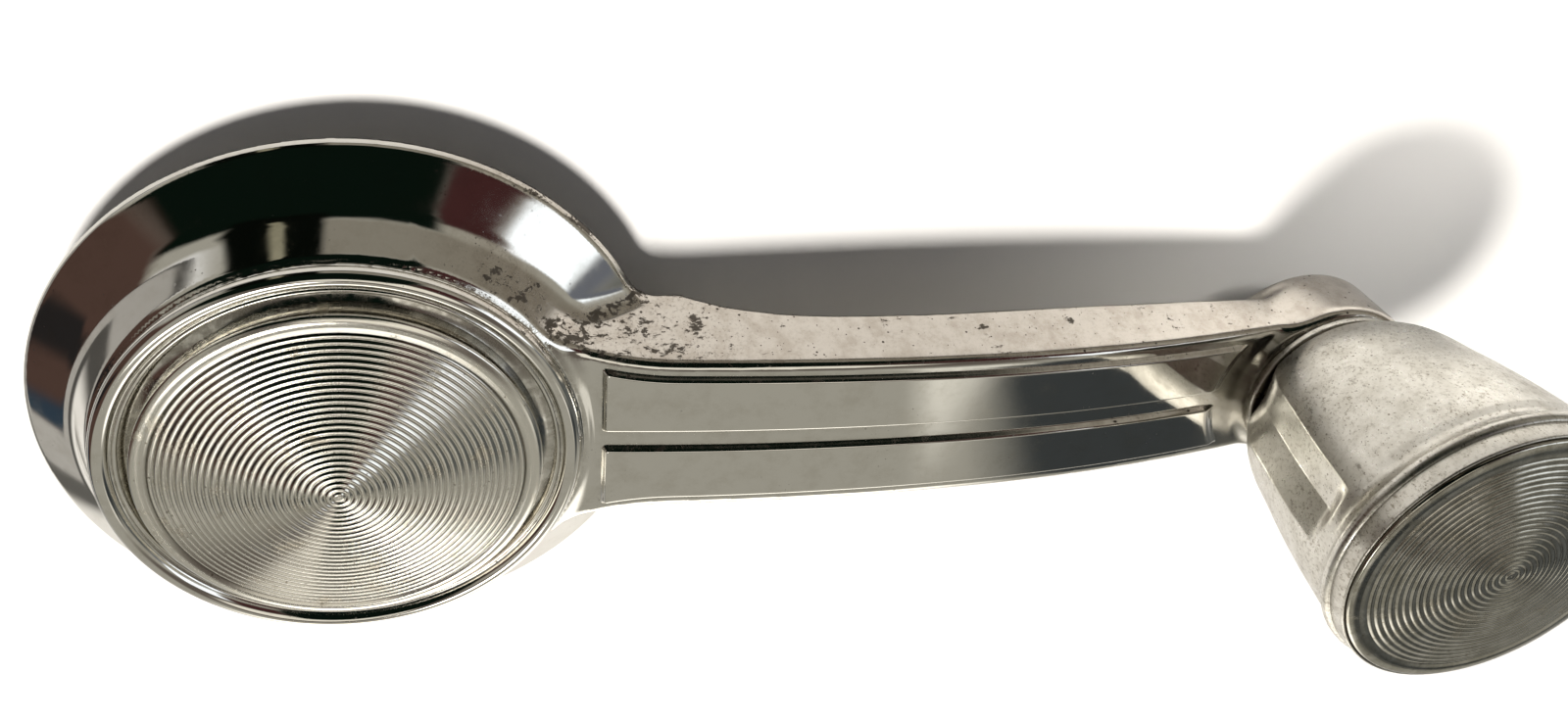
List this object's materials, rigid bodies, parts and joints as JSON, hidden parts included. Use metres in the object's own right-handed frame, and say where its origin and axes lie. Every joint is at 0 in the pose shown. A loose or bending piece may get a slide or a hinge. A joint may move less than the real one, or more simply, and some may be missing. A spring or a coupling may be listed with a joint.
{
  "type": "window crank handle",
  "caption": "Die-cast window crank handle with a ringed hub disc, a raised twin-bar arm and a free-turning tapered knob.",
  "frame": {"origin": "centre of the blind floor of the spindle socket, on the spindle axis", "axes": "+Z along the spindle axis, out of the hub towards the user; +X along the arm, from the spindle to the knob; +Y completes the right-handed frame"},
  "size_m": [0.1437, 0.057, 0.0365],
  "materials": {
    "chrome": "chrome plated, pitted",
    "satin_chrome": "worn satin",
    "ringed_metal": "bright turned rings",
    "steel": "plain",
    "spring_steel": "dark oiled",
    "nylon": "matt"
  },
  "bodies": {
    "crank": {"crank_casting": "chrome", "hub_disc": "ringed_metal", "spindle_sleeve": "steel", "knob_stud": "steel", "rivet_washer": "steel", "knob_collar": "satin_chrome", "knob_wave_washer": "spring_steel", "stud_push_nut": "spring_steel"},
    "knob": {"knob_body": "satin_chrome", "knob_disc": "ringed_metal", "knob_bush": "nylon"},
    "clip": {"retaining_clip": "spring_steel"}
  },
  "joints": [
    {"name": "knob_spin", "type": "hinge", "parent": "crank", "child": "knob", "pos_m": [0.1, 0, 0.01], "axis": [0, 0, 1], "continuous": true},
    {"name": "clip_slide", "type": "slide", "parent": "crank", "child": "clip", "axis": [-1, 0, 0], "range_m": [0, 0.009]}
  ]
}
